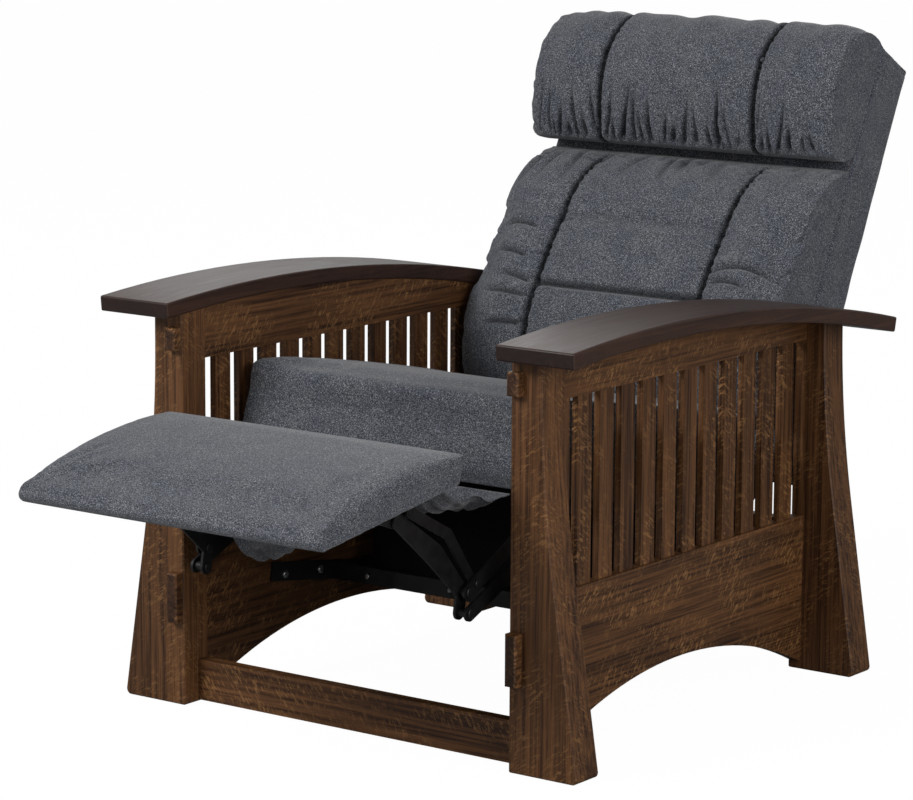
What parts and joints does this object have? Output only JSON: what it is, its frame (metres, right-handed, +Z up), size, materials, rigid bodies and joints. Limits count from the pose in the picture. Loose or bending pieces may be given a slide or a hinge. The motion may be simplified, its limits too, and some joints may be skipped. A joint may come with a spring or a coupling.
{
  "type": "mission reclining armchair",
  "caption": "Reclining armchair with flared slatted oak sides, bent arms, quilted tilting back and a fold-out padded footrest on a steel link mechanism.",
  "frame": {"origin": "on the floor under the middle of the chair's bounding box, footrest out and back reclined", "axes": "+X to the right seen from the front, +Y to the back of the chair, +Z up"},
  "size_m": [0.8352, 1.4602, 0.9715],
  "materials": {
    "oak": "dark brown quarter-sawn oak, satin",
    "frame_wood": "plain hidden frame timber",
    "tweed": "heathered blue-grey woven upholstery",
    "black_steel": "black enamelled steel",
    "spring_steel": "bare spring wire"
  },
  "bodies": {
    "wood_frame": {"front_rail": "oak", "back_rail": "oak", "front_cross_tube": "black_steel", "rear_cross_tube": "black_steel", "front_post_left": "oak", "front_post_right": "oak", "back_post_left": "oak", "back_post_right": "oak", "side_bottom_rail_left": "oak", "side_bottom_rail_right": "oak", "side_top_rail_left": "oak", "side_top_rail_right": "oak", "arm_left": "oak", "arm_right": "oak", "mechanism_rail_left": "black_steel", "mechanism_rail_right": "black_steel", "slat_01_left": "oak", "slat_01_right": "oak", "slat_02_left": "oak", "slat_02_right": "oak", "slat_03_left": "oak", "slat_03_right": "oak", "slat_04_left": "oak", "slat_04_right": "oak", "slat_05_left": "oak", "slat_05_right": "oak", "slat_06_left": "oak", "slat_06_right": "oak", "slat_07_left": "oak", "slat_07_right": "oak", "slat_08_left": "oak", "slat_08_right": "oak", "slat_09_left": "oak", "slat_09_right": "oak", "slat_10_left": "oak", "slat_10_right": "oak", "slat_11_left": "oak", "slat_11_right": "oak", "slat_12_left": "oak", "slat_12_right": "oak"},
    "seat": {"seat_frame": "frame_wood", "seat_springs": "spring_steel", "seat_cushion": "tweed", "seat_side_plate_left": "black_steel", "seat_side_plate_right": "black_steel", "footrest_flap": "tweed"},
    "back": {"back_frame": "frame_wood", "back_panel": "tweed", "lower_back_cushion": "tweed", "headrest_cushion": "tweed", "back_brackets": "black_steel"},
    "rear_links": {"rear_link_left": "black_steel", "rear_link_right": "black_steel"},
    "front_links": {"front_link_left": "black_steel", "front_link_right": "black_steel"},
    "control_links": {"control_links": "black_steel"},
    "stay_links": {"stay_links": "black_steel"},
    "footrest": {"footrest_brackets": "black_steel", "footrest_board": "frame_wood", "footrest_cushion": "tweed"}
  },
  "joints": [
    {"name": "footrest_fold", "type": "hinge", "parent": "seat", "child": "rear_links", "pos_m": [0, -0.20884, 0.329], "axis": [1, 0, 0], "range_deg": [0, 77.8], "deforming": ["footrest_flap"]},
    {"name": "seat_tilt", "type": "hinge", "parent": "wood_frame", "child": "seat", "pos_m": [0, 0.12146, 0.262], "axis": [1, 0, 0], "range_deg": [0, 7.02]},
    {"name": "knee_turn", "type": "hinge", "parent": "rear_links", "child": "front_links", "pos_m": [0, -0.37054, 0.25], "axis": [1, 0, 0], "range_deg": [-110.52, 0]},
    {"name": "control_swing", "type": "hinge", "parent": "seat", "child": "control_links", "pos_m": [0, -0.23204, 0.2815], "axis": [1, 0, 0], "range_deg": [0, 85.22]},
    {"name": "stay_swing", "type": "hinge", "parent": "rear_links", "child": "stay_links", "pos_m": [0, -0.35254, 0.25925], "axis": [1, 0, 0], "range_deg": [-110.42, 0]},
    {"name": "footrest_turn", "type": "hinge", "parent": "front_links", "child": "footrest", "pos_m": [0, -0.51354, 0.372], "axis": [1, 0, 0], "range_deg": [0, 108.12]},
    {"name": "back_recline", "type": "hinge", "parent": "seat", "child": "back", "pos_m": [0, 0.38746, 0.326], "axis": [-1, 0, 0], "range_deg": [-6, 18]}
  ],
  "couplings": [
    {"joint": "knee_turn", "follows": "footrest_fold", "ratio": -1.4203},
    {"joint": "control_swing", "follows": "footrest_fold", "ratio": 1.0951},
    {"joint": "stay_swing", "follows": "footrest_fold", "ratio": -1.419},
    {"joint": "footrest_turn", "follows": "footrest_fold", "ratio": 1.3895},
    {"joint": "seat_tilt", "follows": "footrest_fold", "ratio": 0.089974}
  ]
}
